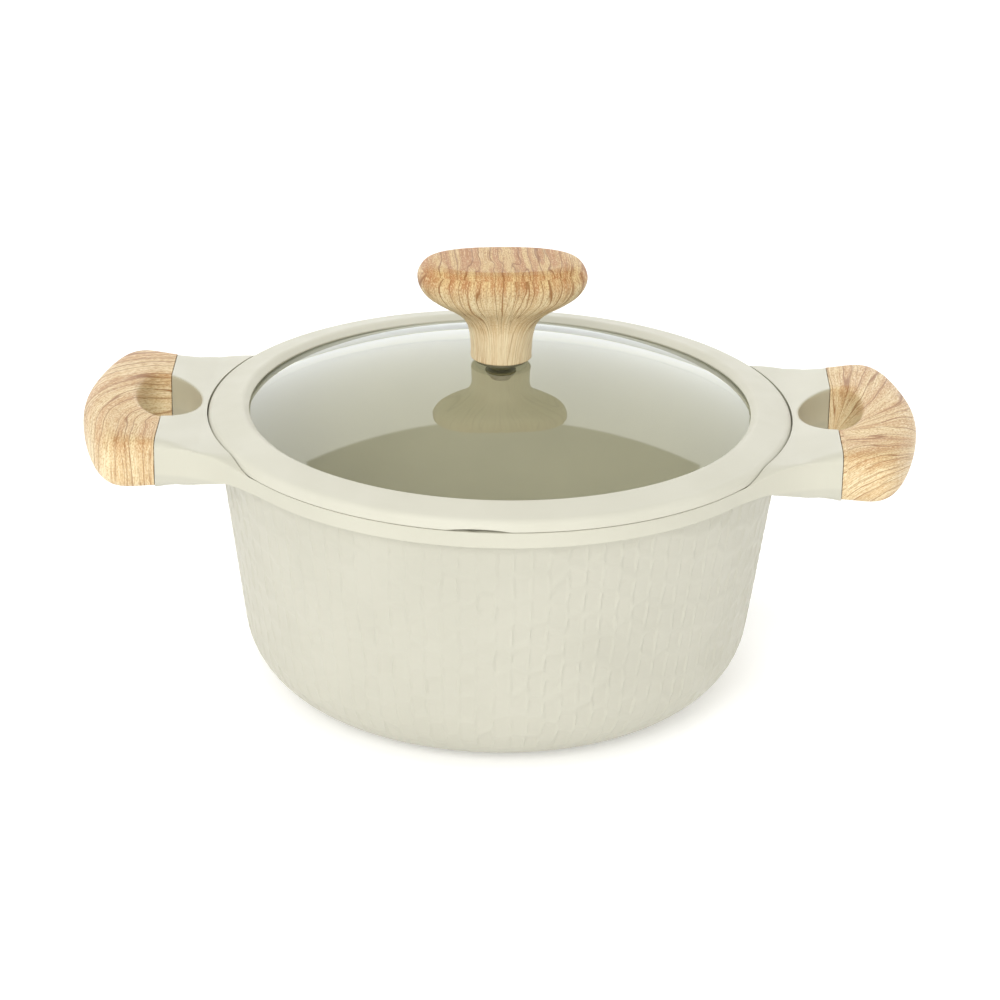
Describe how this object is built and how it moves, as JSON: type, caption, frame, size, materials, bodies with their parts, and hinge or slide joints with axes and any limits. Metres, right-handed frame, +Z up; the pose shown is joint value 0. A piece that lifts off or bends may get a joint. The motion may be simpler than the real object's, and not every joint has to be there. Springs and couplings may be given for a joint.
{
  "type": "casserole with glass lid",
  "caption": "Round two-handled casserole with a hammered wall, wood-effect grips and a domed glass lid with a silicone rim and a knob.",
  "frame": {"origin": "centre of the flat base, on the surface that the pot stands on", "axes": "+Z up along the pot's axis, +X along the handles towards the right handle, -Y towards the front with the steam vent"},
  "size_m": [0.366, 0.2564, 0.195],
  "materials": {
    "pot_coating": "satin non-stick coating on cast aluminium",
    "plate_steel": "circular brushed",
    "wood_effect": "printed wood grain on phenolic plastic",
    "fastener_steel": "plain",
    "lid_glass": "clear tempered",
    "lid_silicone": "smooth matt silicone",
    "dark_silicone": "matt silicone",
    "insert_brass": "turned"
  },
  "bodies": {
    "pot": {"pot_body": "pot_coating", "induction_plate": "plate_steel", "grip_right": "wood_effect", "grip_screw_right_front": "fastener_steel", "grip_washer_right_front": "fastener_steel", "grip_screw_right_back": "fastener_steel", "grip_washer_right_back": "fastener_steel", "grip_left": "wood_effect", "grip_screw_left_front": "fastener_steel", "grip_washer_left_front": "fastener_steel", "grip_screw_left_back": "fastener_steel", "grip_washer_left_back": "fastener_steel"},
    "lid": {"lid_glass": "lid_glass", "lid_seal": "lid_silicone", "knob": "wood_effect", "knob_insert": "insert_brass", "knob_gasket": "dark_silicone", "knob_soft_washer": "dark_silicone", "knob_steel_washer": "fastener_steel", "knob_screw": "fastener_steel"}
  },
  "joints": [
    {"name": "lid_lift", "type": "slide", "parent": "pot", "child": "lid", "axis": [0, 0, 1], "range_m": [0, 0.15]}
  ]
}
